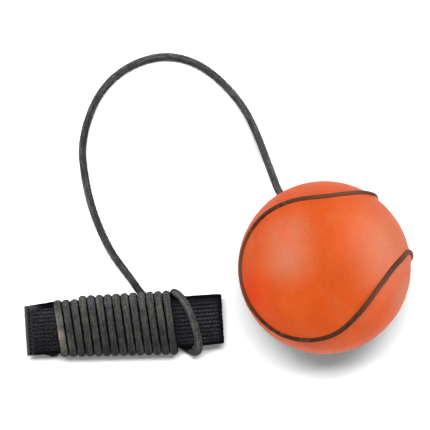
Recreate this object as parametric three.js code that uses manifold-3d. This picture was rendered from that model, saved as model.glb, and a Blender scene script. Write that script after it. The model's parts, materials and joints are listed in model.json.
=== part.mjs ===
// A return ball for hurling practice: a ribbed rubber ball on an elastic cord, whose spare length
// is wound round its wrist strap. It lies on a table at z = 0, in millimetres with +Z up, and its
// origin is the bottom centre of the ball and the strap.
import * as THREE from 'three';
import { mergeVertices } from 'three/addons/utils/BufferGeometryUtils.js';
import Module from 'manifold-3d';

const wasm = await Module();
wasm.setup();

// Clearances
const clearance = 0.3; // between faces that touch
const edgeClearance = 0.7; // between the strap's drawn-in edges and the turns round them
const layClearance = 0.35; // between the winding and the cord that it lies on

// Ball: two hollow rubber halves that part square to the cord
const ballDiameter = 69;
const ballWall = 6;
const ballPlace = new THREE.Vector2(43.2, 1.15);
const bossRadius = 8;
const bossHeight = 2;
const boreMouthChamfer = 0.8;
const cordExitTurn = 120; // degrees round the ball from +X
const cordExitDrop = 25; // degrees below the ball's middle
const ballSegments = 42;
const outerArcSteps = 12;
const innerArcSteps = 8;

// Seam rib: an endless strip seated in a groove of both halves
const ribWidth = 2.4;
const ribProud = 1.4;
const ribFlank = 0.6; // height of its upright sides above the ball
const ribSeat = 0.7; // depth of its foot below the ball's surface
const ribSteps = 130;
const neckTurn = 31; // degrees round the ball to the narrow neck between the two lobes
// The upper lobe as [turn round the ball, tilt from its top], from one side of the neck to the
// other. The lower lobe is the upper one turned half round about the neck.
const upperLobe = [
  [55, 90], [57, 81], [60.6, 75.5], [64.5, 69.8], [68.5, 65.5], [72.6, 61.5], [80, 57], [93, 53.3], [119, 58.2],
  [139, 65.5], [159, 70.7], [176, 73.4], [195, 72.2], [215, 68.8], [235, 63.7], [257.5, 55], [277.5, 46.8],
  [305, 37.1], [339, 36.7], [361, 47.6], [366.3, 56], [369.4, 63.3], [371, 70.5], [370, 78], [367, 90],
];

// Stopper inside the ball
const washerRadius = 6.5;
const washerThickness = 1.6;
const knotRadius = 4.2;
const knotLength = 9;
const knotWraps = 3;
const wrapGroove = 0.14; // depth of the grooves between a knot's wraps, as a share of its radius
const stemProud = 1.5; // how far the cord's stem stands out of the ball
const smallSegments = 16;

// Cord
const cordDiameter = 3;
const cordSides = 8;
const floorCut = 0.3; // depth of the flat where the bundle stands on its cord

// Wrist strap: webbing folded double, fold to +X and sewn ends to -X
const strapLength = 80.6;
const strapWidth = 20.3;
const webbing = 1.3; // thickness of one layer
const webbingRound = 0.4; // round of its edges
const strapTurn = 3.6; // degrees round +Z
const strapPlace = new THREE.Vector2(-37.4, -23);
const pressedGap = 0.6; // between the layers under the winding
const sewnLength = 3.5;
const openingStart = 18; // from the strap's middle to where the layers start to part
const foldGap = 5.2; // between the layers where the fold springs open
const foldNose = 6; // length of the round end of the fold

// Winding
const turns = 14;
const windingPitch = 3.44;
const windingTurn = 2.6; // degrees round +Z
const windingOffset = -3.9; // of its middle from the strap's middle, along the strap
const turnSlant = 3.05; // how far a turn moves on across the strap's upper face
const bendRadius = 0.7; // inside a turn's bends
const loopSides = 6;
const runSteps = 6; // steps of a turn across either face
const bendSteps = 3; // steps of a quarter bend
const pinchedWidthFirst = 16.6; // of the strap under the first turn
const pinchedWidthLast = 18.2; // and under the last
const pinchRun = 2; // length over which the strap is drawn in

// Knot at the strap's end of the cord
const strapKnotWidth = 6.3;
const strapKnotLength = 7.2;
const strapKnotBack = 2.6; // from the first turn back to the knot, along the winding
const strapKnotAcross = 8; // from the winding's middle line to the knot

// Routes of the free cord, as points of its centreline
const looseRoute = [
  [-17.4, -12, 4.4], [-17.6, -10, 5.4], [-17.7, -9.7, 8], [-16.9, -10, 10.9], [-15, -11.6, 12.4],
  [-13.1, -13.5, 12.9], [-11.5, -16.1, 13.2], [-10, -19.6, 13.5], [-8.6, -23.3, 13.7], [-7.7, -27, 13.8],
  [-7.2, -30.4, 13.7], [-7.3, -32.7, 12.4], [-7.7, -33.8, 9.5], [-8.2, -34.4, 6.4], [-9.4, -34.6, 3.9],
  [-11.4, -34.4, 2.2], [-14.2, -33.4, 1.3], [-17.1, -31.7, 1.2], [-23.3, -21.9, 1.2], [-29.7, -11.6, 1.3],
];
const cordJoin = [-33, -6.6, 1.5]; // where the slack turn's tail meets the free stretch
const archRoute = [
  [-43.9, 7.9, 1.5], [-50.9, 25.6, 1.5], [-54.7, 42.2, 1.5], [-55.1, 49.6, 1.5], [-53.6, 59.9, 1.5],
  [-48.9, 71.5, 1.5], [-41.9, 79.3, 1.5], [-33.6, 84.7, 1.5], [-26.2, 86.8, 1.5], [-20.8, 87.2, 1.5],
  [-13.8, 86.4, 1.5], [-6.3, 83.3, 1.5], [0.5, 78.5, 1.6], [7.3, 71.5, 1.9], [12.7, 64, 3.2],
  [16.8, 55, 6.2], [19.6, 46.9, 9.9], [23, 37.8, 14.8],
];
const archLead = 3.5; // straight stretch of the cord as it comes out of the ball
const looseStep = 2;
const archStep = 3;

// Values that follow from those above
const degree = Math.PI / 180;
const ballRadius = ballDiameter / 2;
const cordRadius = cordDiameter / 2;
const boreRadius = cordRadius + clearance;
const exitTurn = cordExitTurn * degree;
const exitDrop = cordExitDrop * degree;
const cordAxis = new THREE.Vector3(
  Math.cos(exitTurn) * Math.cos(exitDrop),
  Math.sin(exitTurn) * Math.cos(exitDrop),
  -Math.sin(exitDrop),
);
const toCordAxis = new THREE.Quaternion().setFromUnitVectors(new THREE.Vector3(0, 1, 0), cordAxis);
const innerRadius = ballRadius - ballWall;
const bossFace = innerRadius - bossHeight;
const washerFace = bossFace - clearance - washerThickness;
const strapHalf = webbing + pressedGap / 2;
const loopHalfHeight = strapHalf + clearance + cordRadius;
const bundleHeight = cordDiameter - floorCut + layClearance + cordRadius + loopHalfHeight;
const windingLength = (turns - 1) * windingPitch + turnSlant;
const firstTop = -windingLength / 2;
const windingEnd = new THREE.Vector3(firstTop + turns * windingPitch, 0, -loopHalfHeight);

// Closed surface through rings of points, joined end to end or capped
function loft(rings, endless) {
  const sides = rings[0].length;
  const faces = [];
  const spans = endless ? rings.length : rings.length - 1;
  for (let i = 0; i < spans; i++) {
    const here = i * sides;
    const next = ((i + 1) % rings.length) * sides;
    for (let j = 0; j < sides; j++) {
      const k = (j + 1) % sides;
      faces.push(here + j, here + k, next + k, here + j, next + k, next + j);
    }
  }
  if (!endless) {
    const last = (rings.length - 1) * sides;
    for (let j = 1; j < sides - 1; j++) {
      faces.push(0, j + 1, j, last, last + j, last + j + 1);
    }
  }
  const geometry = new THREE.BufferGeometry().setFromPoints(rings.flat());
  geometry.setIndex(faces);
  return geometry;
}

function solidOf(geometry) {
  const bare = geometry.clone();
  bare.deleteAttribute('normal');
  bare.deleteAttribute('uv');
  const joined = mergeVertices(bare);
  const corners = joined.index.array;
  const triVerts = [];
  for (let i = 0; i < corners.length; i += 3) {
    const [a, b, c] = corners.slice(i, i + 3);
    if (a !== b && b !== c && c !== a) triVerts.push(a, b, c);
  }
  const vertProperties = joined.attributes.position.array;
  const mesh = new wasm.Mesh({ numProp: 3, vertProperties, triVerts: Uint32Array.from(triVerts) });
  return new wasm.Manifold(mesh);
}

function geometryOf(solid) {
  const { vertProperties, triVerts } = solid.getMesh();
  const geometry = new THREE.BufferGeometry();
  geometry.setAttribute('position', new THREE.BufferAttribute(vertProperties, 3));
  geometry.setIndex(new THREE.BufferAttribute(triVerts, 1));
  return geometry;
}

function piece(name, geometry, color, roughness) {
  const mesh = new THREE.Mesh(geometry, new THREE.MeshStandardMaterial({ color, roughness, metalness: 0 }));
  mesh.name = name;
  return mesh;
}

// Flat foot: takes away what lies below the height given
function cutBelow(geometry, height) {
  const size = 2 * (strapLength + ballDiameter);
  const below = new THREE.BoxGeometry(size, size, size).translate(0, 0, height - size / 2);
  return geometryOf(solidOf(geometry).subtract(solidOf(below)));
}

function circlePoints(sides) {
  return Array.from({ length: sides }, (_, i) => {
    const angle = ((i + 0.5) / sides) * 2 * Math.PI;
    return new THREE.Vector2(cordRadius * Math.cos(angle), cordRadius * Math.sin(angle));
  });
}

// Half shells, lathed about the cord's axis from profiles of radius and height along the axis
function arcProfile(radius, fromHeight, toHeight, steps) {
  const from = Math.asin(fromHeight / radius);
  const to = Math.asin(toHeight / radius);
  return Array.from({ length: steps + 1 }, (_, i) => {
    const angle = THREE.MathUtils.lerp(from, to, i / steps);
    return new THREE.Vector2(radius * Math.cos(angle), radius * Math.sin(angle));
  });
}

function latheOnAxis(profile, segments) {
  return new THREE.LatheGeometry(profile, segments).applyQuaternion(toCordAxis);
}

function cordHalf() {
  const parting = clearance / 2;
  const mouth = boreRadius + boreMouthChamfer;
  const mouthHeight = Math.sqrt(ballRadius ** 2 - mouth ** 2);
  const bossRoot = Math.sqrt(innerRadius ** 2 - bossRadius ** 2);
  const outer = arcProfile(ballRadius, parting, mouthHeight, outerArcSteps);
  const profile = [
    ...outer,
    new THREE.Vector2(boreRadius, mouthHeight - boreMouthChamfer),
    new THREE.Vector2(boreRadius, bossFace),
    new THREE.Vector2(bossRadius, bossFace),
    ...arcProfile(innerRadius, bossRoot, parting, innerArcSteps),
    outer[0],
  ];
  return latheOnAxis(profile, ballSegments);
}

function plainHalf() {
  const parting = -clearance / 2;
  const outer = arcProfile(ballRadius, -ballRadius, parting, outerArcSteps);
  const inner = arcProfile(innerRadius, parting, -innerRadius, innerArcSteps);
  outer[0].x = 0;
  inner.at(-1).x = 0;
  return latheOnAxis([...outer, ...inner], ballSegments);
}

// The seam's line as points on the ball, spaced evenly
function onBall(turn, tilt) {
  const flat = ballRadius * Math.sin(tilt * degree);
  const height = ballRadius * Math.cos(tilt * degree);
  return new THREE.Vector3(flat * Math.cos(turn * degree), flat * Math.sin(turn * degree), height);
}

function seamPoints() {
  const upper = upperLobe.map(([turn, tilt]) => onBall(turn, tilt));
  const lower = upperLobe.slice(1, -1).map(([turn, tilt]) => onBall(2 * neckTurn - turn, 180 - tilt));
  const path = new THREE.CatmullRomCurve3([...upper, ...lower], true, 'centripetal');
  return path.getSpacedPoints(ribSteps).slice(0, -1).map((point) => point.setLength(ballRadius));
}

// Strip swept round the seam from a section of [across, out from the ball's surface]
function seamStrip(section) {
  const points = seamPoints();
  const rings = points.map((point, i) => {
    const before = points.at(i - 1);
    const after = points[(i + 1) % points.length];
    const out = point.clone().normalize();
    const along = after.clone().sub(before).normalize();
    const across = out.clone().cross(along).normalize();
    return section.map(([x, y]) => point.clone().addScaledVector(across, x).addScaledVector(out, y));
  });
  return loft(rings, true);
}

function ribStrip() {
  const half = ribWidth / 2;
  const crown = [0, 45, 90, 135, 180].map((angle) => [
    half * Math.cos(angle * degree),
    ribFlank + (ribProud - ribFlank) * Math.sin(angle * degree),
  ]);
  return seamStrip([[-half, -ribSeat], [half, -ribSeat], ...crown]);
}

function ribGroove() {
  const half = ribWidth / 2 + clearance;
  const floor = -ribSeat - clearance;
  const above = ribProud + clearance;
  return seamStrip([[-half, floor], [half, floor], [half, above], [-half, above]]);
}

function washer() {
  const top = bossFace - clearance;
  const profile = [
    new THREE.Vector2(boreRadius, washerFace),
    new THREE.Vector2(washerRadius, washerFace),
    new THREE.Vector2(washerRadius, top),
    new THREE.Vector2(boreRadius, top),
    new THREE.Vector2(boreRadius, washerFace),
  ];
  return latheOnAxis(profile, 2 * smallSegments);
}

// Outline of a knot that ends at the height given, from its far end on the axis
function knotProfile(radius, length, top, leastRadius) {
  const steps = 6 * knotWraps;
  const points = [new THREE.Vector2(0, top - length)];
  for (let i = 1; i < steps; i++) {
    const along = i / steps;
    const barrel = Math.sqrt(Math.sin(Math.PI * along));
    const wrap = 1 - wrapGroove * (1 - Math.abs(Math.sin(Math.PI * knotWraps * along)));
    points.push(new THREE.Vector2(Math.max(leastRadius, radius * barrel * wrap), top - length * (1 - along)));
  }
  return points;
}

function ballKnot() {
  const top = washerFace - clearance;
  const stemTop = ballRadius + stemProud;
  const profile = [
    ...knotProfile(knotRadius, knotLength, top, cordRadius),
    new THREE.Vector2(cordRadius, top),
    new THREE.Vector2(cordRadius, stemTop),
    new THREE.Vector2(0, stemTop),
  ];
  return latheOnAxis(profile, smallSegments);
}

// Ball and what it holds, about the ball's middle, standing on its lowest point
const ball = new THREE.Group();
const groove = solidOf(ribGroove());
const orange = 0xe85f2d;
ball.add(piece('ball_cord_half', geometryOf(solidOf(cordHalf()).subtract(groove)), orange, 0.5));
ball.add(piece('ball_plain_half', geometryOf(solidOf(plainHalf()).subtract(groove)), orange, 0.5));
ball.add(piece('seam_rib', ribStrip(), 0x3a2620, 0.6));
ball.add(piece('stopper_washer', washer(), 0xd8d4c8, 0.5));
ball.add(piece('ball_end_knot', ballKnot(), 0x424240, 0.8));
const lowest = new THREE.Box3().setFromObject(ball).min.z;
ball.position.set(ballPlace.x, ballPlace.y, -lowest);

// Wrist strap: the outline of its layers from the side, with the space between them as a hole,
// pushed across its width. Each line lies a distance out from that space.
function traceSide(path, out, from, to) {
  const pressed = pressedGap / 2 + out;
  const open = foldGap / 2 + out;
  const noseStart = strapLength / 2 - foldNose;
  const ease = (noseStart - openingStart) / 2;
  path.moveTo(from, -pressed);
  path.lineTo(openingStart, -pressed);
  path.bezierCurveTo(openingStart + ease, -pressed, noseStart - ease, -open, noseStart, -open);
  path.absellipse(noseStart, 0, to - noseStart, open, -Math.PI / 2, Math.PI / 2, false);
  path.bezierCurveTo(noseStart - ease, open, openingStart + ease, pressed, openingStart, pressed);
  path.lineTo(from, pressed);
  path.closePath();
  return path;
}

function strapBody() {
  const end = strapLength / 2;
  const side = traceSide(new THREE.Shape(), webbing, -end, end);
  side.holes.push(traceSide(new THREE.Path(), 0, -end + sewnLength, end - webbing));
  const body = new THREE.ExtrudeGeometry(side, {
    depth: strapWidth - 2 * webbingRound,
    curveSegments: 8,
    bevelThickness: webbingRound,
    bevelSize: webbingRound,
    bevelOffset: -webbingRound,
    bevelSegments: 1,
  });
  return body.translate(0, 0, -strapWidth / 2 + webbingRound).rotateX(Math.PI / 2);
}

// Half the strap's width under the turns, which draw it in, at a place along the winding
function pinchedHalf(x) {
  const share = THREE.MathUtils.clamp((x - firstTop) / windingLength, 0, 1);
  return THREE.MathUtils.lerp(pinchedWidthFirst, pinchedWidthLast, share) / 2;
}

// What the turns draw in on one side of the strap
function pinchCutter(side) {
  const from = firstTop - cordRadius - pinchRun;
  const to = firstTop + windingLength + cordRadius + pinchRun;
  const beside = strapWidth / 2 + webbing;
  const shape = new THREE.Shape();
  shape.moveTo(from, side * strapWidth);
  shape.lineTo(from, side * beside);
  shape.lineTo(from + pinchRun, side * pinchedHalf(from));
  shape.lineTo(to - pinchRun, side * pinchedHalf(to));
  shape.lineTo(to, side * beside);
  shape.lineTo(to, side * strapWidth);
  shape.closePath();
  const depth = 4 * loopHalfHeight;
  return new THREE.ExtrudeGeometry(shape, { depth, bevelEnabled: false }).translate(0, 0, -depth / 2);
}

// Bend of a turn round the strap's edge, as [across, height] from the lower face to the upper
function edgeBend(halfWidth) {
  const radius = cordRadius + bendRadius;
  const points = [];
  for (const corner of [-1, 1]) {
    for (let i = 0; i < bendSteps; i++) {
      const angle = ((i + 0.5) / bendSteps - (corner < 0 ? 1 : 0)) * (Math.PI / 2);
      const height = corner * (loopHalfHeight - radius) + radius * Math.sin(angle);
      points.push([halfWidth - radius + radius * Math.cos(angle), height]);
    }
  }
  return points;
}

// Centreline of the winding: from the knot under the strap, then for each turn up round the far
// edge, slanting across the upper face, down round the near edge and back under the strap
function windingPoints() {
  const points = [];
  const add = (x, y, z) => points.push(new THREE.Vector3(x, y, z));
  const knotX = firstTop - strapKnotBack;
  const knotEnd = -strapKnotAcross + strapKnotLength / 2 + clearance;
  const low = -loopHalfHeight;
  add(knotX, knotEnd, low);
  add(knotX, knotEnd + cordDiameter, low);
  add(knotX + 0.5 * strapKnotBack, knotEnd + 2 * cordDiameter, low);
  for (let turn = 0; turn < turns; turn++) {
    const top = firstTop + turn * windingPitch;
    const bottom = top + turnSlant;
    const farHalf = pinchedHalf(top) + edgeClearance + cordRadius;
    const nearHalf = pinchedHalf(bottom) + edgeClearance + cordRadius;
    const farRun = farHalf - cordRadius - bendRadius;
    const nearRun = nearHalf - cordRadius - bendRadius;
    for (let i = turn === 0 ? 2 : 1; i < runSteps / 2; i++) add(top, (2 * farRun * i) / runSteps, low);
    for (const [across, height] of edgeBend(farHalf)) add(top, across, height);
    for (let i = 0; i < runSteps; i++) {
      const share = (i + 0.5) / runSteps;
      const across = THREE.MathUtils.lerp(farRun, -nearRun, share);
      add(THREE.MathUtils.lerp(top, bottom, share), across, -low);
    }
    for (const [across, height] of edgeBend(nearHalf).reverse()) add(bottom, -across, height);
    for (let i = 1; i <= runSteps / 2; i++) {
      const share = (2 * i) / runSteps;
      add(THREE.MathUtils.lerp(bottom, top + windingPitch, share), -nearRun * (1 - share), low);
    }
  }
  return points;
}

function tubeRings(points) {
  return points.map((point, i) => {
    const before = points[Math.max(i - 1, 0)];
    const after = points[Math.min(i + 1, points.length - 1)];
    const along = after.clone().sub(before).normalize();
    const side = new THREE.Vector3(1, 0, 0).addScaledVector(along, -along.x).normalize();
    const out = along.clone().cross(side);
    return circlePoints(loopSides).map(
      ({ x, y }) => point.clone().addScaledVector(side, x).addScaledVector(out, y),
    );
  });
}

// Least distance between points of the tube that lie half a turn of it or more apart
function leastGap(rings) {
  const halfTurn = runSteps + 2 * bendSteps;
  let least = Infinity;
  for (let i = 0; i < rings.length; i++) {
    for (let j = i + halfTurn; j < rings.length; j++) {
      for (const a of rings[i]) {
        for (const b of rings[j]) least = Math.min(least, a.distanceTo(b));
      }
    }
  }
  return least;
}

// Knot under the strap, its cord end towards the winding, flat where the bundle stands on it
function strapKnot() {
  const room = bundleHeight - strapHalf - clearance;
  const height = room + floorCut;
  const half = strapKnotLength / 2;
  const profile = knotProfile(strapKnotWidth / 2, strapKnotLength, half, 0);
  profile.push(new THREE.Vector2(0, half));
  const knot = new THREE.LatheGeometry(profile, smallSegments).scale(1, 1, height / strapKnotWidth);
  knot.translate(firstTop - strapKnotBack, -strapKnotAcross, room - height / 2 - bundleHeight);
  return cutBelow(knot, -bundleHeight);
}

// Bundle: the strap, and the winding with its knot in a group of its own
const bundle = new THREE.Group();
bundle.position.set(strapPlace.x, strapPlace.y, bundleHeight);
bundle.rotation.z = strapTurn * degree;
const winding = new THREE.Group();
winding.position.x = windingOffset;
winding.rotation.z = (windingTurn - strapTurn) * degree;
bundle.add(winding);
bundle.updateMatrixWorld(true);
let strapSolid = solidOf(strapBody());
for (const side of [-1, 1]) {
  strapSolid = strapSolid.subtract(solidOf(pinchCutter(side).applyMatrix4(winding.matrix)));
}
bundle.add(piece('wrist_strap', geometryOf(strapSolid), 0x17171a, 0.9));
const windingRings = tubeRings(windingPoints());
console.log(`cord_winding: least gap to itself ${leastGap(windingRings).toFixed(2)} mm`);
winding.add(piece('cord_winding', loft(windingRings, false), 0x5a5a55, 0.85));
winding.add(piece('strap_end_knot', strapKnot(), 0x2c2c2c, 0.85));

// Free cord, as a tube along a route with one step for every stepLength of it
function cordTube(points, stepLength) {
  const path = new THREE.CatmullRomCurve3(points, false, 'centripetal');
  const steps = Math.round(path.getLength() / stepLength);
  const section = new THREE.Shape(circlePoints(cordSides));
  return new THREE.ExtrudeGeometry(section, { extrudePath: path, steps });
}

function pointsFrom(start, way, distances) {
  return distances.map((distance) => start.clone().addScaledVector(way, distance));
}

function routePoints(route) {
  return route.map((point) => new THREE.Vector3(...point));
}

// The slack turn goes on from the winding's end, and its tail runs under the bundle
const join = new THREE.Vector3(...cordJoin);
const joinWay = new THREE.Vector3(...archRoute[0]).sub(join).setZ(0).normalize();
const looseStart = winding.localToWorld(windingEnd.clone());
const looseWay = new THREE.Vector3(0, 1, 0).transformDirection(winding.matrixWorld);
const loosePoints = [
  ...pointsFrom(looseStart, looseWay, [clearance, clearance + cordDiameter, clearance + 2 * cordDiameter]),
  ...routePoints(looseRoute),
  ...pointsFrom(join, joinWay, [-cordDiameter, 0]),
];

// The free stretch lies from the slack turn's tail to the stem that stands out of the ball
const stemEnd = ball.position.clone().addScaledVector(cordAxis, ballRadius + stemProud + clearance);
const archPoints = [
  ...pointsFrom(join, joinWay, [clearance, clearance + cordDiameter]),
  ...routePoints(archRoute),
  ...pointsFrom(stemEnd, cordAxis, [archLead, 0]),
];

const returnBall = new THREE.Group();
returnBall.add(ball, bundle);
returnBall.add(piece('cord_loose_turn', cutBelow(cordTube(loosePoints, looseStep), 0), 0x5a5a55, 0.85));
returnBall.add(piece('cord_arch', cordTube(archPoints, archStep), 0x424241, 0.85));

export default returnBall;
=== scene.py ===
import json
from math import asin, atan2, cos, floor, pi, radians, sin, sqrt, tan

import bmesh
import bpy
from mathutils import Matrix, Vector

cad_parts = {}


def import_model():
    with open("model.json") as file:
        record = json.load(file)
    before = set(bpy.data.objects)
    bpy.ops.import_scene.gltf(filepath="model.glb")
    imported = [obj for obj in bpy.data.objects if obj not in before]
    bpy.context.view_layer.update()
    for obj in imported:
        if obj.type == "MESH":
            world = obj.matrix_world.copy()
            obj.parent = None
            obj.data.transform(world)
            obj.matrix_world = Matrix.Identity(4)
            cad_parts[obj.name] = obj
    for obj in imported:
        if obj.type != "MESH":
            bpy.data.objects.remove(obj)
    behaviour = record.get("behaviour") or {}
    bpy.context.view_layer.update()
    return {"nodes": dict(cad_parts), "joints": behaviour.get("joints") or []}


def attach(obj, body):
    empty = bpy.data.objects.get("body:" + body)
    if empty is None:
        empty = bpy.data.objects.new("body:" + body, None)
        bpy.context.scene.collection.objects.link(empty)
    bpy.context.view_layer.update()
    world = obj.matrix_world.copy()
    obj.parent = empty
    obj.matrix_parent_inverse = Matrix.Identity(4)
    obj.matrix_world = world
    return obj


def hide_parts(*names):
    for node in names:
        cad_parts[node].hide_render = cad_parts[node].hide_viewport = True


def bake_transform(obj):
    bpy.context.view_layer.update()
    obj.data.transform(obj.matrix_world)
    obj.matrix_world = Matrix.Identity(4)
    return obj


# Looks of a hurling practice ball: a ribbed rubber ball on an elastic cord, with the spare cord
# wound round a folded wrist strap. Metres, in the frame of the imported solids, table at z = 0.
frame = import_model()
scene = bpy.context.scene
scene.view_settings.view_transform = "Standard"
joints = {joint["name"]: joint for joint in frame["joints"]}

cameraView = {
    "overPoint": (-0.00047, 0.02205),  # where its axis meets the table
    "height": 1.0,
    "lens": 202.3,
    "sensor": 36.0,
}


def placeCamera():
    data = bpy.data.cameras.new("tableCamera")
    data.lens = cameraView["lens"]
    data.sensor_width = cameraView["sensor"]
    camera = bpy.data.objects.new("tableCamera", data)
    camera.location = (*cameraView["overPoint"], cameraView["height"])
    scene.collection.objects.link(camera)
    scene.camera = camera


placeCamera()
print("camera in place")


# Tools for paths and meshes

def splinePoint(before, start, end, after, share):
    knots = [0.0]
    for a, b in ((before, start), (start, end), (end, after)):
        knots.append(knots[-1] + (b - a).length ** 0.5)
    place = knots[1] + (knots[2] - knots[1]) * share

    def between(a, b, low, high):
        return a.lerp(b, (place - knots[low]) / (knots[high] - knots[low]))

    first, middle, last = between(before, start, 0, 1), between(start, end, 1, 2), between(end, after, 2, 3)
    return between(between(first, middle, 0, 2), between(middle, last, 1, 3), 1, 2)


def spaceEvenly(points, step):
    lengths = [0.0]
    for a, b in zip(points, points[1:]):
        lengths.append(lengths[-1] + (b - a).length)
    count = round(lengths[-1] / step)
    even, span = [], 0
    for i in range(count + 1):
        target = lengths[-1] * i / count
        while span < len(points) - 2 and lengths[span + 1] < target:
            span += 1
        share = (target - lengths[span]) / (lengths[span + 1] - lengths[span])
        even.append(points[span].lerp(points[span + 1], share))
    return even


def walkSpline(stops, step, closed=False, cuts=10):
    stops = [Vector(stop) for stop in stops]
    if closed:
        row = [stops[-1], *stops, stops[0], stops[1]]
    else:
        row = [2 * stops[0] - stops[1], *stops, 2 * stops[-1] - stops[-2]]
    dense = []
    for four in zip(row, row[1:], row[2:], row[3:]):
        dense += [splinePoint(*four, cut / cuts) for cut in range(cuts)]
    dense.append(stops[0] if closed else stops[-1])
    return spaceEvenly(dense, step)


def carryFrames(path, side):
    frames = []
    for i, point in enumerate(path):
        along = (path[min(i + 1, len(path) - 1)] - path[max(i - 1, 0)]).normalized()
        side = (side - along * side.dot(along)).normalized()
        frames.append((point, side, along.cross(side)))
    return frames


def pathLength(path):
    return sum((b - a).length for a, b in zip(path, path[1:]))


def meshObject(name, bm, sharpAngle=None):
    for face in bm.faces:
        face.smooth = True
    if sharpAngle:
        for edge in bm.edges:
            edge.smooth = edge.calc_face_angle(0.0) < sharpAngle
    mesh = bpy.data.meshes.new(name)
    bm.to_mesh(mesh)
    bm.free()
    piece = bpy.data.objects.new(name, mesh)
    scene.collection.objects.link(piece)
    return piece


# A flat grid laid round a path: placeAt and uvAt take the step along it and the step round it,
# and values may name one more number that the finish reads
def wrapGrid(name, along, around, placeAt, uvAt, sharpAngle=None, values=None):
    bm = bmesh.new()
    weave = bm.loops.layers.uv.new("weave")
    layer = bm.verts.layers.float.new(values[0]) if values else None
    bmesh.ops.create_grid(bm, x_segments=along, y_segments=around, size=0.5)
    steps = {v: (round((v.co.x + 0.5) * along), round((v.co.y + 0.5) * around)) for v in bm.verts}
    for face in bm.faces:
        for loop in face.loops:
            loop[weave].uv = uvAt(*steps[loop.vert])
    for vert, (i, j) in steps.items():
        vert.co = placeAt(i, j)
        if values:
            vert[layer] = values[1](i, j)
    bmesh.ops.remove_doubles(bm, verts=bm.verts, dist=1e-7)
    bmesh.ops.holes_fill(bm, edges=[edge for edge in bm.edges if edge.is_boundary], sides=0)
    bmesh.ops.recalc_face_normals(bm, faces=bm.faces)
    return meshObject(name, bm, sharpAngle)


# Tools for materials

def addNode(tree, kind, inputs=None, **settings):
    node = tree.nodes.new(kind)
    for name, value in settings.items():
        setattr(node, name, value)
    for name, value in (inputs or {}).items():
        if isinstance(value, bpy.types.NodeSocket):
            tree.links.new(value, node.inputs[name])
        else:
            node.inputs[name].default_value = value
    return node


def mathNode(tree, operation, first, second=0.0):
    return addNode(tree, "ShaderNodeMath", {0: first, 1: second}, operation=operation).outputs[0]


def times(tree, first, *others):
    for other in others:
        first = mathNode(tree, "MULTIPLY", first, other)
    return first


def combine(tree, x, y, z):
    return addNode(tree, "ShaderNodeCombineXYZ", {"X": x, "Y": y, "Z": z}).outputs[0]


def mixColours(tree, factor, first, second):
    node = addNode(tree, "ShaderNodeMix", {0: factor, 6: first, 7: second}, data_type="RGBA")
    return node.outputs[2]


def scaleColour(tree, colour, factor):
    return addNode(tree, "ShaderNodeVectorMath", {0: colour, "Scale": factor}, operation="SCALE").outputs[0]


def noiseNode(tree, vector, scale, detail=2.0, roughness=0.5):
    inputs = {"Vector": vector, "Scale": scale, "Detail": detail, "Roughness": roughness}
    return addNode(tree, "ShaderNodeTexNoise", inputs).outputs[0]


def mapRange(tree, value, low, high, newLow=0.0, newHigh=1.0):
    inputs = {0: value, 1: low, 2: high, 3: newLow, 4: newHigh}
    return addNode(tree, "ShaderNodeMapRange", inputs, interpolation_type="SMOOTHSTEP").outputs[0]


def newGroup(name, inputs):
    tree = bpy.data.node_groups.new(name, "ShaderNodeTree")
    for socket, kind in inputs.items():
        tree.interface.new_socket(socket, in_out="INPUT", socket_type=kind)
    return tree, tree.nodes.new("NodeGroupInput").outputs


def giveOut(tree, results):
    outputs = tree.nodes.new("NodeGroupOutput").inputs
    for name, value in results.items():
        tree.interface.new_socket(name, in_out="OUTPUT", socket_type="NodeSocketFloat")
        tree.links.new(value, outputs[name])
    return tree


def newMaterial(name, roughness, specular):
    material = bpy.data.materials.new(name)
    material.use_nodes = True
    shader = material.node_tree.nodes["Principled BSDF"]
    shader.inputs["Roughness"].default_value = roughness
    shader.inputs["Specular IOR Level"].default_value = specular
    return material, material.node_tree, shader


def coordinates(tree):
    return addNode(tree, "ShaderNodeTexCoord").outputs["Object"]


def weaveOf(tree):
    return addNode(tree, "ShaderNodeUVMap", uv_map="weave").outputs[0]


def colourTo(tree, shader, colour):
    tree.links.new(colour, shader.inputs["Base Color"])


def bumpTo(tree, shader, height, distance):
    bump = addNode(tree, "ShaderNodeBump", {"Height": height, "Distance": distance, "Strength": 1.0})
    tree.links.new(bump.outputs[0], shader.inputs["Normal"])


def placeGroup(tree, group, inputs):
    return addNode(tree, "ShaderNodeGroup", inputs, node_tree=group).outputs


# Elastic cord: a braided sleeve of fine strands

cordForm = {
    "radius": 0.0015,
    "strands": 8,  # each way round the cord
    "crossing": 0.0029,  # length of one crossing along the cord
    "relief": 0.00009,
    "bump": 0.00006,
    "tinted": 0.85,  # how far the mottling tints it
    "sides": 32,
    "step": 0.00045,
}
lead = 2 * cordForm["radius"]  # straight run where cords join


def braidHeight(distance, turn):
    right = turn * cordForm["strands"] + distance / cordForm["crossing"]
    left = turn * cordForm["strands"] - distance / cordForm["crossing"]
    over = (floor(right) + floor(left)) % 2 == 0
    across, along = (right % 1, left % 1) if over else (left % 1, right % 1)
    return sin(pi * across) * (0.5 + 0.5 * sin(pi * along))


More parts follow.
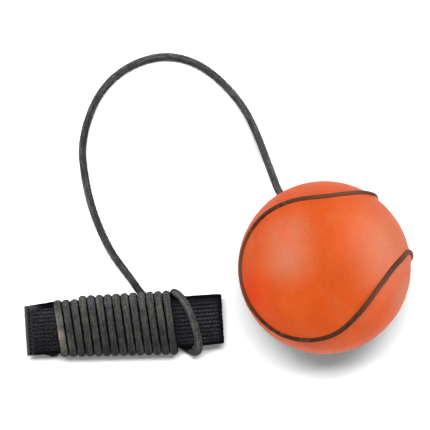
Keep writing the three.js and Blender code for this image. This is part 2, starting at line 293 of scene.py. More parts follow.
# startAt is the length of cord before this piece, swell its thickness along the way, and press
# reshapes its section where it is pressed against something
def braidedTube(name, path, side, startAt=0.0, swell=lambda share: 1.0, press=None, lowest=None,
                wearShadeAndSheen=None):
    frames = carryFrames(path, side)
    last = len(path) - 1
    step = pathLength(path) / last
    sides = cordForm["sides"]

    def outwards(i, j):
        _, right, up = frames[i]
        angle = 2 * pi * (j % sides) / sides
        return cos(angle) * right + sin(angle) * up

    def placeAt(i, j):
        point = frames[i][0]
        relief = cordForm["relief"] * (braidHeight(startAt + i * step, j / sides) - 0.5)
        offset = (cordForm["radius"] + relief) * swell(i / last) * outwards(i, j)
        spot = point + (press(point, offset, i * step) if press else offset)
        if lowest is not None:
            spot.z = max(spot.z, lowest)
        return spot

    def uvAt(i, j):
        return (startAt + i * step) * 1000, j / sides

    # the number each point stores: wear, painted shade, painted shadow and painted sheen
    def wearShadeAndSheenAt(i, j):
        return wearShadeAndSheen(frames[i][0], outwards(i, j), i * step)

    piece = wrapGrid(name, last, sides, placeAt, uvAt, values=("wearShadeAndSheen", wearShadeAndSheenAt) if wearShadeAndSheen else None)
    return piece, frames[-1][1]


# Bundle: the strap's and the winding's own frames

bundleForm = {
    "place": (-0.0374, -0.023, 0.00795),
    "strapTurn": 3.6,
    "windingTurn": 2.6,
    "windingOffset": -0.0038,
}
strapFrame = Matrix.Translation(bundleForm["place"]) @ Matrix.Rotation(
    radians(bundleForm["strapTurn"]), 4, "Z")
windingFrame = strapFrame @ Matrix.Translation((bundleForm["windingOffset"], 0, 0)) @ Matrix.Rotation(
    radians(bundleForm["windingTurn"] - bundleForm["strapTurn"]), 4, "Z")
toStrap = strapFrame.inverted()
alongWinding = (windingFrame.to_3x3() @ Vector((1, 0, 0))).normalized()

turnForm = {
    "turns": 14,
    "pitch": 0.00344,
    "slant": 0.0022,  # how far a turn moves on across the strap's upper face
    "halfHeight": 0.0034,  # of a turn's centreline
    "bendRadius": 0.0022,
    "far": (0.0111, 0.0118),  # from the middle line out to the first and last turn on the far edge
    "near": (0.0105, 0.0116),
    "tuckedTurns": 3,  # the first turns lie shorter over the far edge
    "tuckedBy": 0.0012,
    "tuckedEase": 1.3,  # in turns
    "wide": 1.03,  # the wound cord presses flat
    "wideBends": 1.14,
    "bendsFrom": 0.0075,  # from the middle line out to where the turns begin to bend
    "bendsOver": 0.002,
    "coreHalf": 0.0092,  # half the width of the strap's flat core
    "fadeOver": 0.006,  # length of cord on which the winding's form fades out
    "knotBack": 0.004,  # from the first turn back to the knot
    "knotAcross": 0.0085,
    "knotLength": 0.0072,
    "runSteps": 6,
    "bendSteps": 3,
}
slackBend = {  # the slack turn bulges as it bends
    "place": Vector((-0.008, -0.0332, 0.009)),
    "reach": 0.009,
    "swell": 0.3,
}


# Routes of the cords, written in millimetres
def inMetres(stops):
    return [tuple(value / 1000 for value in stop) for stop in stops]


looseRoute = inMetres([
    (-17.2, -12.2, 4.4), (-17.4, -10.3, 5.3), (-17.4, -9.7, 7.8), (-16.8, -9.7, 10.5),
    (-15.8, -10.2, 12.1), (-14.7, -11.2, 12.8), (-13.1, -13.3, 13), (-11.5, -16.1, 13.2),
    (-10, -19.6, 13.5), (-8.6, -23.3, 13.7), (-7.7, -27, 13.8), (-7.2, -30.2, 13.6),
    (-7.4, -32.3, 12.2), (-7.9, -33.4, 9.5), (-8.6, -34, 6.8), (-9.7, -34.1, 4.4),
    (-11.2, -33.6, 2.5), (-13.7, -32.2, 1.5), (-15.8, -30.6, 1.2), (-19.5, -26.8, 1.2),
    (-23.3, -21.9, 1.2), (-29.7, -11.6, 1.3),
])
cordJoin = Vector((-0.0336, -0.0066, 0.0015))
archMiddle = Vector((-0.02, 0.04, 0.0))
archRoute = inMetres([
    (-43.9, 7.9, 1.5), (-51.4, 25.6, 1.5), (-54.8, 42.2, 1.5), (-55.2, 49.6, 1.5),
    (-53.4, 59.9, 1.5), (-48.5, 71.3, 1.5), (-41.8, 79.2, 1.5), (-33.5, 84.5, 1.5),
    (-26.2, 86.9, 1.5), (-20.8, 87.5, 1.5), (-13.8, 86.6, 1.5), (-6.2, 83.5, 1.5), (0.5, 78.6, 1.6),
    (7.4, 71.5, 1.9), (12.6, 64, 3.2), (16.8, 55, 6.2), (19.8, 47, 9.9), (23.1, 37.8, 14.8),
])


def smoothShare(value):
    value = min(max(value, 0.0), 1.0)
    return value * value * (3 - 2 * value)


# Smooth rise from 0 at start to 1 a given distance later
def rampShare(value, start, over):
    return smoothShare((value - start) / over)


def turnMiddle(turn):
    return (turn - (turnForm["turns"] - 1) / 2) * turnForm["pitch"]


# Reach of the turns at a place along the winding, on the "far" or the "near" edge
def turnReach(x, edge):
    first, last = turnForm[edge]
    turn = (x - turnMiddle(0)) / turnForm["pitch"]
    reach = first + (last - first) * min(max(turn / (turnForm["turns"] - 1), 0.0), 1.0)
    if edge == "far":
        tucked = 1 - smoothShare(turn - turnForm["tuckedTurns"] + turnForm["tuckedEase"])
        reach -= turnForm["tuckedBy"] * tucked
    return reach


# Bend of a turn round the strap's edge, as (across, height) from the lower face to the upper
def edgeBend(halfWidth):
    radius, steps = turnForm["bendRadius"], turnForm["bendSteps"]
    bend = []
    for corner in (-1, 1):
        for i in range(steps):
            angle = ((i + 0.5) / steps - (1 if corner < 0 else 0)) * pi / 2
            height = corner * (turnForm["halfHeight"] - radius) + radius * sin(angle)
            bend.append((halfWidth - radius + radius * cos(angle), height))
    return bend


# Stops of the winding in its own frame, turn by turn from the knot under the strap
def windingStops():
    low, runSteps, slant = -turnForm["halfHeight"], turnForm["runSteps"], turnForm["slant"]
    firstTop = turnMiddle(0) - slant / 2
    knotX = firstTop - turnForm["knotBack"]
    knotEnd = -turnForm["knotAcross"] + turnForm["knotLength"] / 2
    stops = [
        (knotX, knotEnd, low), (knotX, knotEnd + lead, low),
        ((knotX + firstTop) / 2, knotEnd + 2 * lead, low),
    ]
    for turn in range(turnForm["turns"]):
        top, bottom = turnMiddle(turn) - slant / 2, turnMiddle(turn) + slant / 2
        far, near = turnReach(top, "far"), turnReach(bottom, "near")
        farRun, nearRun = far - turnForm["bendRadius"], near - turnForm["bendRadius"]
        firstStep = 2 if turn == 0 else 1
        stops += [(top, 2 * farRun * i / runSteps, low) for i in range(firstStep, runSteps // 2)]
        over = edgeBend(far)
        over += [(farRun - (farRun + nearRun) * (i + 0.5) / runSteps, -low) for i in range(runSteps)]
        over += [(-across, height) for across, height in reversed(edgeBend(near))]
        for across, height in over:
            lean = (far - across) / (far + near) if height > 0 else float(across < 0)
            stops.append((top + slant * lean, across, height))
        for i in range(1, runSteps // 2 + 1):
            share = 2 * i / runSteps
            onTo = bottom + (top + turnForm["pitch"] - bottom) * share
            stops.append((onTo, -nearRun * (1 - share), low))
    return stops


# Away from the strap's flat core, at a point of the winding
def awayFromStrap(point):
    local, half = toStrap @ point, turnForm["coreHalf"]
    core = Vector((local.x, min(max(local.y, -half), half), 0))
    return (strapFrame.to_3x3() @ (local - core)).normalized()


# Share of the winding's form at a distance along the cord: whole in the turns, none past them
def woundShare(distance):
    return 1 - rampShare(distance, windingCord, turnForm["fadeOver"])


# The turns press flat against each other, most where they bend round the strap's edges
def pressWound(point, offset, distance):
    bent = rampShare(abs((toStrap @ point).y), turnForm["bendsFrom"], turnForm["bendsOver"])
    wide = turnForm["wide"] + (turnForm["wideBends"] - turnForm["wide"]) * bent
    bulge = smoothShare(1 - (point - slackBend["place"]).length / slackBend["reach"])
    offset = offset * (1 + slackBend["swell"] * bulge)
    return offset + alongWinding * alongWinding.dot(offset) * (wide - 1) * woundShare(distance)


# How pale the cords are, from 0 to 1, from wear and from painted shade, shadow and sheen; each pair is
# where a change starts and how far it goes on
wearShadeAndSheenForm = {
    "crown": (0.65, 0.35),  # of how squarely the cord's side faces out
    # painted sheen: how much darker the crown is than the shoulders
    "shoulderSheen": 0.3,
    # paler where the side faces out: partly wear, partly painted shade on the sides between the turns
    "outerSide": (0.3, 0.4),
    "slackTurn": 0.8,
    "litFarSide": (-0.0081, 0.0184),  # across the strap; paler towards the far edge is painted light
    "leastWound": 0.42,
    "leastSlack": 0.75,
    "raised": (0.002, 0.003),  # height over the table
    # painted shadow: how much darker the cord is where it lies low under the bundle
    "bundleShadow": 0.6,
    "archOuterSide": (-0.9, 1.3),
    "leastFree": 0.62,
}


# Painted sheen on the cord's shoulders: its crown is kept a little darker than its shoulders
def paintedShoulderSheen(facing):
    return 1 - wearShadeAndSheenForm["shoulderSheen"] * rampShare(facing, *wearShadeAndSheenForm["crown"])


# The cord is paler on the side that faces out, partly worn pale and partly as painted shade on the sides
# where the turns press together, paler towards the far edge as painted light, and darker as painted shadow
# where it runs on under the bundle
def woundWearShadeAndSheen(point, outwards, distance):
    wound = woundShare(distance)
    # paler where the side faces out: wear, with painted shade between the turns and painted sheen on the
    # shoulders
    facing = outwards.dot(awayFromStrap(point))
    facing = rampShare(facing, *wearShadeAndSheenForm["outerSide"]) * paintedShoulderSheen(facing)
    shown = wearShadeAndSheenForm["slackTurn"] + (facing - wearShadeAndSheenForm["slackTurn"]) * wound
    # painted light: paler towards the far edge
    farFrom, farOver = wearShadeAndSheenForm["litFarSide"]
    litFarShare = min(max(((toStrap @ point).y - farFrom) / farOver, 0.0), 1.0)
    # painted shadow: darker where the cord lies low past the winding, under the bundle
    under = (1 - wound) * (1 - rampShare(point.z, *wearShadeAndSheenForm["raised"]))
    least = wearShadeAndSheenForm["leastSlack"] + (wearShadeAndSheenForm["leastWound"] - wearShadeAndSheenForm["leastSlack"]) * wound
    return shown * (least + (1 - least) * litFarShare) * (1 - wearShadeAndSheenForm["bundleShadow"] * under)


# The free cord is worn paler on the outer side of its arch, and takes painted sheen on its shoulders
def freeWearAndSheen(point, outwards, _):
    facing = outwards.dot((point - archMiddle).normalized())
    least = wearShadeAndSheenForm["leastFree"]
    return (least + (1 - least) * rampShare(facing, *wearShadeAndSheenForm["archOuterSide"])) * paintedShoulderSheen(outwards.z)


ballMiddle = Vector(joints["ball_spin"]["pos_m"])
cordAxis = Vector(joints["ball_spin"]["axis"]).normalized()
ballForm = {
    "radius": 0.0345,
    "wall": 0.006,
    "bossRadius": 0.008,
    "bossHeight": 0.002,
    "boreClearance": 0.0003,
    "lip": 0.0008,
    "lipSteps": 5,
    "segments": 144,
    "arcSteps": 44,
    "sharpAngle": 35,
}
ballRadius, ballInner = ballForm["radius"], ballForm["radius"] - ballForm["wall"]
stemProud = 0.0018  # how far the cord's stem stands out of the ball
archLead = 0.0035

joinWay = Vector(archRoute[0]) - cordJoin
joinWay.z = 0
joinWay.normalize()
windingPath = [windingFrame @ Vector(stop) for stop in windingStops()]
windingCord = pathLength(walkSpline(windingPath, cordForm["step"]))
windingWay = (windingFrame.to_3x3() @ Vector((0, 1, 0))).normalized()
woundStops = [
    *windingPath,
    windingPath[-1] + windingWay * lead, windingPath[-1] + windingWay * 2 * lead,
    *looseRoute,
    cordJoin - joinWay * lead, cordJoin,
]
woundPath = walkSpline(woundStops, cordForm["step"])
woundCord, endSide = braidedTube(
    "woundCord", woundPath, Vector((1, 0, 0)), press=pressWound, lowest=0.0, wearShadeAndSheen=woundWearShadeAndSheen)
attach(woundCord, "strap")
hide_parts("cord_winding", "cord_loose_turn")
print("wound cord", round(pathLength(woundPath), 4), "m")

stemEnd = ballMiddle + cordAxis * (ballRadius + stemProud)
archStops = [cordJoin, cordJoin + joinWay * lead, *archRoute, stemEnd + cordAxis * archLead, stemEnd]
archPath = walkSpline(archStops, cordForm["step"])
freeCord, stemSide = braidedTube(
    "freeCord", archPath, endSide, startAt=pathLength(woundPath), wearShadeAndSheen=freeWearAndSheen)
# the part that pays out, along the arch's top
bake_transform(freeCord)
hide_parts("cord_arch")
print("free cord", round(pathLength(archPath), 4), "m")


# Barrel knots: the cord runs through its own wraps and back round itself

def barrelKnotPath(start, way, side, form, leadIn=0.0):
    length, wraps, cordRadius = form["length"], form["wraps"], form["cordRadius"]
    across = way.cross(side)
    far = leadIn + length - cordRadius

    def spot(depth, reach, turn):
        angle = 2 * pi * turn
        return start + way * depth + reach * (cos(angle) * side + sin(angle) * across)

    core, rise = far - cordRadius, length - 2 * cordRadius
    coreSteps, wrapSteps = 4, 12 * wraps
    hookTurn, firstTurn = 0.02, 0.1  # where round the core it turns back and where its wraps start
    stops = [spot(core * i / coreSteps, 0, 0) for i in range(coreSteps + 1)]
    stops.append(spot(far, cordRadius, hookTurn))
    for i in range(1, wrapSteps):
        share = i / wrapSteps
        stops.append(spot(far - rise * share, 2 * cordRadius, firstTurn + wraps * share))
    return walkSpline(stops, cordForm["step"])


def knotSwell(form):
    return lambda share: 1.0 if share < form["stemShare"] else form["cordRadius"] / cordForm["radius"]


strapKnotForm = {
    "wraps": 3,
    "cordRadius": 0.00105,
    "length": turnForm["knotLength"],
    "drop": 0.0017,
    "stemShare": 0.0,  # of its cord, as thick as the free cord
}
strapKnotPath = barrelKnotPath(
    windingPath[0] - Vector((0, 0, strapKnotForm["drop"])), -windingWay, Vector((0, 0, -1)), strapKnotForm)
strapKnot, _ = braidedTube(
    "strapEndKnot", strapKnotPath, Vector((1, 0, 0)), swell=knotSwell(strapKnotForm), lowest=0.0)
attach(strapKnot, "strap")
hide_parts("strap_end_knot")

ballKnotForm = {
    "wraps": 3,
    "cordRadius": 0.0014,
    "length": 0.009,
    "washerThickness": 0.0016,
    "gap": 0.0003,
    "stemShare": 0.1,
}
stemLength = (stemProud + ballForm["wall"] + ballForm["bossHeight"]
              + ballKnotForm["washerThickness"] + 2 * ballKnotForm["gap"])
ballKnotPath = barrelKnotPath(
    stemEnd, -cordAxis, cordAxis.cross(Vector((0, 0, 1))).normalized(), ballKnotForm, stemLength)
ballKnot, _ = braidedTube(
    "ballEndKnot", ballKnotPath, stemSide, startAt=pathLength(woundPath) + pathLength(archPath),
    swell=knotSwell(ballKnotForm), wearShadeAndSheen=freeWearAndSheen)
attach(ballKnot, "cord_end")
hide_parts("ball_end_knot")
print("knots tied")


# Ball: two half shells spun about the cord's axis, and the raised seam round both

def arcStops(radius, fromHeight, toHeight, steps):
    start, end = asin(fromHeight / radius), asin(toHeight / radius)
    angles = [start + (end - start) * i / steps for i in range(steps + 1)]
    return [(radius * cos(angle), radius * sin(angle)) for angle in angles]


def spinShell(name, profile):
    bm = bmesh.new()
    verts = [bm.verts.new((reach, 0, height)) for reach, height in profile]
    edges = [bm.edges.new(pair) for pair in zip(verts, verts[1:])]
    bmesh.ops.spin(bm, geom=verts + edges, cent=(0, 0, 0), axis=(0, 0, 1), angle=2 * pi,
                   steps=ballForm["segments"], use_merge=True)
    bmesh.ops.remove_doubles(bm, verts=bm.verts, dist=1e-6)
    bmesh.ops.recalc_face_normals(bm, faces=bm.faces)
    turn = Vector((0, 0, 1)).rotation_difference(cordAxis).to_matrix().to_4x4()
    bmesh.ops.transform(bm, matrix=Matrix.Translation(ballMiddle) @ turn, verts=bm.verts)
    return meshObject(name, bm, radians(ballForm["sharpAngle"]))


def cordShellProfile():
    bore = cordForm["radius"] + ballForm["boreClearance"]
    lip, lipSteps = ballForm["lip"], ballForm["lipSteps"]
    mouth = sqrt(ballRadius ** 2 - (bore + lip) ** 2)
    rounding = [pi / 2 * (i + 1) / lipSteps for i in range(lipSteps)]
    bossFace = ballInner - ballForm["bossHeight"]
    bossRoot = sqrt(ballInner ** 2 - ballForm["bossRadius"] ** 2)
    return [
        *arcStops(ballRadius, 0, mouth, ballForm["arcSteps"]),
        *[(bore + lip * (1 - sin(a)), mouth - lip * (1 - cos(a))) for a in rounding],
        (bore, bossFace), (ballForm["bossRadius"], bossFace),
        *arcStops(ballInner, bossRoot, 0, ballForm["arcSteps"] // 2),
        (ballRadius, 0),
    ]


def plainShellProfile():
    steps = ballForm["arcSteps"]
    return [*arcStops(ballRadius, -ballRadius, 0, steps), *arcStops(ballInner, 0, -ballInner, steps // 2)]


cordShell = spinShell("ballCordShell", cordShellProfile())
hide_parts("ball_cord_half")
plainShell = spinShell("ballPlainShell", plainShellProfile())
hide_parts("ball_plain_half")

ribForm = {
    "width": 0.0022,
    "proud": 0.0014,
    "flank": 0.45,  # straight part of its height
    "seat": 0.0007,
    "sharpAngle": 50,
    "crownSteps": 10,
    "filletWidth": 0.0022,
    "filletHeight": 0.00045,
    "filletSink": 0.00002,
    "filletSeat": 0.0004,
    "filletSharpAngle": 60,
    "filletSteps": 8,
    "steps": 520,
    "roughStep": 0.0004,
    "easeSteps": 5,  # smooths its line
    "neckTurn": 31,
    # the upper lobe as (turn round the ball, tilt from its top); the lower one is it turned half round
    "upperLobe": [
        (55, 90), (57, 81), (60.6, 75.5), (64.5, 69.8), (68.5, 65.5), (72.6, 61.5), (80, 57),
        (93, 53.3), (119, 58.2), (139, 65.5), (159, 70.7), (176, 73.4), (195, 72.2), (215, 68.8),
        (235, 63.7), (257.5, 55), (277.5, 46.8), (305, 37.1), (339, 36.7), (361, 47.6), (366.3, 56),
        (369.4, 63.3), (371, 70.5), (370, 78), (367, 90),
    ],
}


def onBall(turn, tilt):
    turn, tilt = radians(turn), radians(tilt)
    return Vector((sin(tilt) * cos(turn), sin(tilt) * sin(turn), cos(tilt)))


def seamFrames():
    lobe = ribForm["upperLobe"]
    stops = [onBall(*stop) for stop in lobe]
    stops += [onBall(2 * ribForm["neckTurn"] - turn, 180 - tilt) for turn, tilt in lobe[1:-1]]
    stops = [stop * ballRadius for stop in stops]
    rough = walkSpline(stops, ribForm["roughStep"], closed=True)[:-1]
    count, reach = len(rough), ribForm["easeSteps"]
    eased = []
    for i in range(count):
        near = sum((rough[(i + k) % count] for k in range(-reach, reach + 1)), Vector())
        eased.append(near.normalized() * ballRadius)
    path = spaceEvenly(eased + eased[:1], pathLength(eased) / ribForm["steps"])[:-1]
    frames = []
    for i, point in enumerate(path):
        out = point.normalized()
        along = (path[(i + 1) % len(path)] - path[i - 1]).normalized()
        frames.append((out, out.cross(along).normalized()))
    return frames


# Band round the seam from a section of (distance across the ball's surface, height above it)
def seamBand(name, section, sharpAngle=None):
    frames = seamFrames()
    along, around = len(frames), len(section)

    def placeAt(i, j):
        out, across = frames[i % along]
        reach, height = section[j % around]
        angle = reach / ballRadius
        return ballMiddle + (out * cos(angle) + across * sin(angle)) * (ballRadius + height)

    return wrapGrid(name, along, around, placeAt, lambda i, j: (i, j / around), sharpAngle)


def ribSection():
    half, flank, steps = ribForm["width"] / 2, ribForm["flank"] * ribForm["proud"], ribForm["crownSteps"]
    angles = [pi * i / steps for i in range(steps + 1)]
    crown = [(half * cos(a), flank + (ribForm["proud"] - flank) * sin(a)) for a in angles]
    return [(-half, -ribForm["seat"]), (half, -ribForm["seat"]), *crown]


def filletSection():
    half, reach, rise = ribForm["width"] / 2, ribForm["filletWidth"], ribForm["filletHeight"]
    steps, sink, under = ribForm["filletSteps"], ribForm["filletSink"], -ribForm["filletSeat"]
    slope = [(half + reach * i / steps, rise * (1 - i / steps) ** 2 - sink) for i in range(steps + 1)]
    left = [(-across, height) for across, height in reversed(slope)]
    return [(-half - reach, under), (half + reach, under), *reversed(slope), *reversed(left)]


seamRib = seamBand("seamRib", ribSection(), radians(ribForm["sharpAngle"]))
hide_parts("seam_rib")
ribFillet = seamBand("ribFillet", filletSection(), radians(ribForm["filletSharpAngle"]))
for piece in (cordShell, plainShell, seamRib, ribFillet):
    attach(piece, "ball")
print("ball made")


# Wrist strap: ribbed elastic webbing, folded double with its ends sewn together

strapForm = {
    "width": 0.0203,
    "thickness": 0.0013,
    "rows": 12,
    "rowRelief": 0.00018,
    "selvage": 0.0009,  # plain edge without ribs
    "selvageEase": 0.0003,
    "loopPitch": 0.00135,
    "loopShare": 0.25,  # of the rows' relief
    "step": 0.00031,
    "faceSteps": 60,
    "edgeSteps": 6,
    # the lower layer's centreline from the side, from its sewn end to the fold
    "side": [
        (-0.0408, -0.00068), (-0.037, -0.00068), (-0.0335, -0.00095), (-0.01, -0.00095), (0.01, -0.00095),
        (0.018, -0.00098), (0.022, -0.0013), (0.026, -0.0021), (0.03, -0.00295), (0.0343, -0.00325),
        (0.0374, -0.00272), (0.0391, -0.00145), (0.03965, 0.0),
    ],
    "pinchRun": 0.0006,
    "pinchBack": 0.0011,  # starts this far in under the last turn
    "nearFlare": 0.0006,  # the near edge stands out a little beside the winding
    "flareOver": 0.018,
    "pinchClearance": 0.00165,  # from a turn's centreline in to the strap's edge
    "skew": 0.0012,  # how far the lower layer slips past the upper one beside the winding
    "skewFrom": -0.0408,
    "skewTo": -0.0285,
    "skewBack": 4,  # times as fast as it slips past
}


# Place of one edge of the strap, pinched in under the winding
def strapEdge(x, edge):
    side = 1 if edge == "far" else -1
    local = x - bundleForm["windingOffset"]
    outside = abs(local + side * turnForm["slant"] / 2) - turnMiddle(turnForm["turns"] - 1)
    pinchFrom = turnForm["wide"] * cordForm["radius"] - strapForm["pinchBack"]
    share = rampShare(outside, pinchFrom, strapForm["pinchRun"])
    pinched = side * (turnReach(local, edge) - strapForm["pinchClearance"])
    pinched += tan(radians(bundleForm["windingTurn"] - bundleForm["strapTurn"])) * local
    full = side * strapForm["width"] / 2
    if edge == "near" and x > 0:
        beside = smoothShare((strapForm["side"][-1][0] - x) / strapForm["flareOver"])
        full -= strapForm["nearFlare"] * beside
    return pinched + (full - pinched) * share


def layerSkew(x):
    share = (x - strapForm["skewFrom"]) / (strapForm["skewTo"] - strapForm["skewFrom"])
    if share <= 1:
        return strapForm["skew"] * max(share, 0.0)
    return strapForm["skew"] * (1 - smoothShare((share - 1) * strapForm["skewBack"]))


def webbingRelief(distance, across):
    half, loopShare = strapForm["width"] / 2, strapForm["loopShare"]
    selvage = 1 - rampShare(abs(across), half - strapForm["selvage"], strapForm["selvageEase"])
    row = (across + half) / strapForm["width"] * strapForm["rows"]
    swell = sin(pi * (row % 1)) ** 2
    loops = sin(2 * pi * distance / strapForm["loopPitch"] + pi * floor(row))
    return strapForm["rowRelief"] * selvage * swell * (1 - loopShare + loopShare * loops)


def makeStrap():
    lower = [Vector((x, 0, z)) for x, z in strapForm["side"]]
    upper = [Vector((stop.x, 0, -stop.z)) for stop in reversed(lower[:-1])]
    path = walkSpline(lower + upper, strapForm["step"])
    frames = carryFrames(path, Vector((0, 1, 0)))
    last = len(path) - 1
    step = pathLength(path) / last
    faceSteps, edgeSteps = strapForm["faceSteps"], strapForm["edgeSteps"]
    half = strapForm["thickness"] / 2
    around = 2 * (faceSteps + edgeSteps)

    def section(j, halfWidth, distance):
        face, k = divmod(j % around, faceSteps + edgeSteps)
        turn = 1 if face == 0 else -1
        if k <= faceSteps:
            flat = (halfWidth - half) * (2 * k / faceSteps - 1) * turn
            shown = flat / halfWidth * strapForm["width"] / 2
            return flat, (half - strapForm["rowRelief"] + webbingRelief(distance, shown)) * turn
        angle = pi * (k - faceSteps) / edgeSteps
        return (halfWidth - half + half * sin(angle)) * turn, half * cos(angle) * turn

    def placeAt(i, j):
        point, _, up = frames[i]
        farEdge, nearEdge = strapEdge(point.x, "far"), strapEdge(point.x, "near")
        shift = (farEdge + nearEdge) / 2 + (layerSkew(point.x) if i < last / 2 else 0.0)
        across, out = section(j, (farEdge - nearEdge) / 2, i * step)
        return strapFrame @ (point + Vector((0, across + shift, 0)) + up * out)

    def uvAt(i, j):
        face, k = divmod(j, faceSteps + edgeSteps)
        across = min(k / faceSteps, 1.0)
        across = across if face % 2 == 0 else 1 - across
        return min(i, last - i) * step * 1000, across * strapForm["width"] * 1000

    return wrapGrid("wristStrap", last, around, placeAt, uvAt), pathLength(path)


strap, strapLength = makeStrap()
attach(strap, "strap")
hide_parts("wrist_strap")

stitchForm = {
    "count": 12,
    "fromEnd": 0.0011,
    "margin": 0.0012,  # from the row to the strap's edges
    "length": 0.0012,
    "drop": 0.0008,
    "radius": 0.00034,
    "flat": 0.8,
    "sink": 0.00012,
}


# Slanted stitches in a row across both faces of the sewn end
def makeStitches():
    bm = bmesh.new()
    spread = strapForm["width"] - 2 * stitchForm["margin"]
    layerTop = -strapForm["side"][0][1] + strapForm["thickness"] / 2
    slant, radius = -atan2(stitchForm["drop"], stitchForm["length"]), stitchForm["radius"]
    shape = Matrix.Rotation(slant, 4, "Z") @ Matrix.Diagonal(
        (stitchForm["length"] / 2 / radius, 1, stitchForm["flat"], 1))
    for face in (-1, 1):
        for i in range(stitchForm["count"]):
            x = strapForm["side"][0][0] + stitchForm["fromEnd"] + stitchForm["length"] / 2
            y = spread * (i / (stitchForm["count"] - 1) - 0.5)
            place = strapFrame @ Matrix.Translation((x, y, face * (layerTop - stitchForm["sink"])))
            bmesh.ops.create_uvsphere(bm, u_segments=10, v_segments=6, radius=radius, matrix=place @ shape)
    return meshObject("sewnStitches", bm)


stitches = makeStitches()
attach(stitches, "strap")
print("strap folded", round(strapLength, 4), "m")


# Finishes

def rubberGrainGroup():
    tree, inputs = newGroup("rubberGrain", {"Vector": "NodeSocketVector", "Grain Scale": "NodeSocketFloat"})
    fine = noiseNode(tree, inputs["Vector"], inputs["Grain Scale"], 3.0, 0.6)
    broad = noiseNode(tree, inputs["Vector"], 70.0, 3.0, 0.55)
    return giveOut(tree, {"Height": fine, "Mottle": mapRange(tree, broad, 0.3, 0.7)})


def braidFibreGroup():
    tree, inputs = newGroup("braidFibre", {"UV": "NodeSocketVector"})
    parts = addNode(tree, "ShaderNodeSeparateXYZ", {0: inputs["UV"]}).outputs
    turns = times(tree, parts["Y"], cordForm["strands"])
    along = mathNode(tree, "DIVIDE", parts["X"], cordForm["crossing"] * 1000)
    right, left = mathNode(tree, "ADD", turns, along), mathNode(tree, "SUBTRACT", turns, along)
    cells = mathNode(tree, "ADD", mathNode(tree, "FLOOR", right), mathNode(tree, "FLOOR", left))
    over = mathNode(tree, "FLOORED_MODULO", cells, 2.0)
    strand = addNode(tree, "ShaderNodeMix", {0: over, 2: right, 3: left}).outputs[0]
    length = addNode(tree, "ShaderNodeMix", {0: over, 2: left, 3: right}).outputs[0]
    spot = combine(tree, times(tree, strand, 5.0), times(tree, length, 0.8), cells)
    fibre = noiseNode(tree, spot, 1.0, 2.0, 0.6)
    dome = mathNode(tree, "SINE", times(tree, mathNode(tree, "FRACT", strand), pi))

    # noise drawn out along the cord, on a ring so that it closes round it
    def drawnOut(stretch, reach, detail):
        angle = times(tree, parts["Y"], 2 * pi)
        ring = [times(tree, mathNode(tree, kind, angle), reach) for kind in ("COSINE", "SINE")]
        place = combine(tree, times(tree, parts["X"], stretch), *ring)
        return noiseNode(tree, place, 1.0, detail, 0.6)

    fuzz = mapRange(tree, drawnOut(2.0, 3.0, 2.0), 0.35, 0.65, 0.7, 1.3)
    patch = mapRange(tree, drawnOut(0.3, 0.3, 2.0), 0.35, 0.65, 0.85, 1.15)
    return giveOut(tree, {
        "Fibre": mapRange(tree, fibre, 0.3, 0.7),
        "Height": mathNode(tree, "ADD", dome, times(tree, fibre, 0.5)),
        "Mottle": mapRange(tree, drawnOut(0.16, 0.5, 3.0), 0.38, 0.62),
        "Streak": mapRange(tree, drawnOut(0.12, 2.4, 2.0), 0.45, 0.68),
        "Fuzz": times(tree, fuzz, patch),
    })


rubberGrain = rubberGrainGroup()
braidFibre = braidFibreGroup()


def grainOf(tree, vector, look):
    return placeGroup(tree, rubberGrain, {"Vector": vector, "Grain Scale": look["grain"]})


# Distance from a place, as a mask that fades out at reach
def softSpot(tree, vector, place, reach):
    away = addNode(tree, "ShaderNodeVectorMath", {0: vector, 1: place}, operation="DISTANCE")
    return mapRange(tree, away.outputs["Value"], 0.0, reach, 1.0, 0.0)


# A mask joined with spots on the ball, each as (way out from the ball's middle, reach)
def withSpots(tree, vector, mask, spots, strength=1.0):
    for way, reach in spots:
        place = ballMiddle + Vector(way).normalized() * ballRadius
        spot = times(tree, softSpot(tree, vector, place, reach), strength)
        mask = mathNode(tree, "MAXIMUM", mask, spot)
    return mask


ballLook = {
    "low": (0.6, 0.074, 0.006, 1),
    "high": (0.68, 0.1, 0.014, 1),
    "dustAndHighlight": (0.585, 0.15, 0.063, 1),  # pale dusty clouds, and painted highlights at the spots below
    # deeper red, in random clouds, and painted at the spot below as a side where no sheen falls
    "deepAndSheenless": (0.76, 0.055, 0.003, 1),
    "grain": 3200.0,
    "bump": 0.00006,
    "roughness": (0.47, 0.57),
    "specular": 0.11,
    # painted highlights: pale spots on the ball's flanks, set where the side panels' sheen falls as seen
    # from above
    "paintedHighlightSpots": [((0.7, 0.24, 0.66), 0.027), ((0.87, -0.27, 0.41), 0.013),
                   ((-0.45, 0.4, 0.8), 0.0155), ((-0.46, 0.14, 0.88), 0.016)],
    # painted absence of sheen: a deeper, more saturated red patch low on the left
    "paintedSheenlessSpots": [((-0.82, -0.3, 0.48), 0.016)],
}


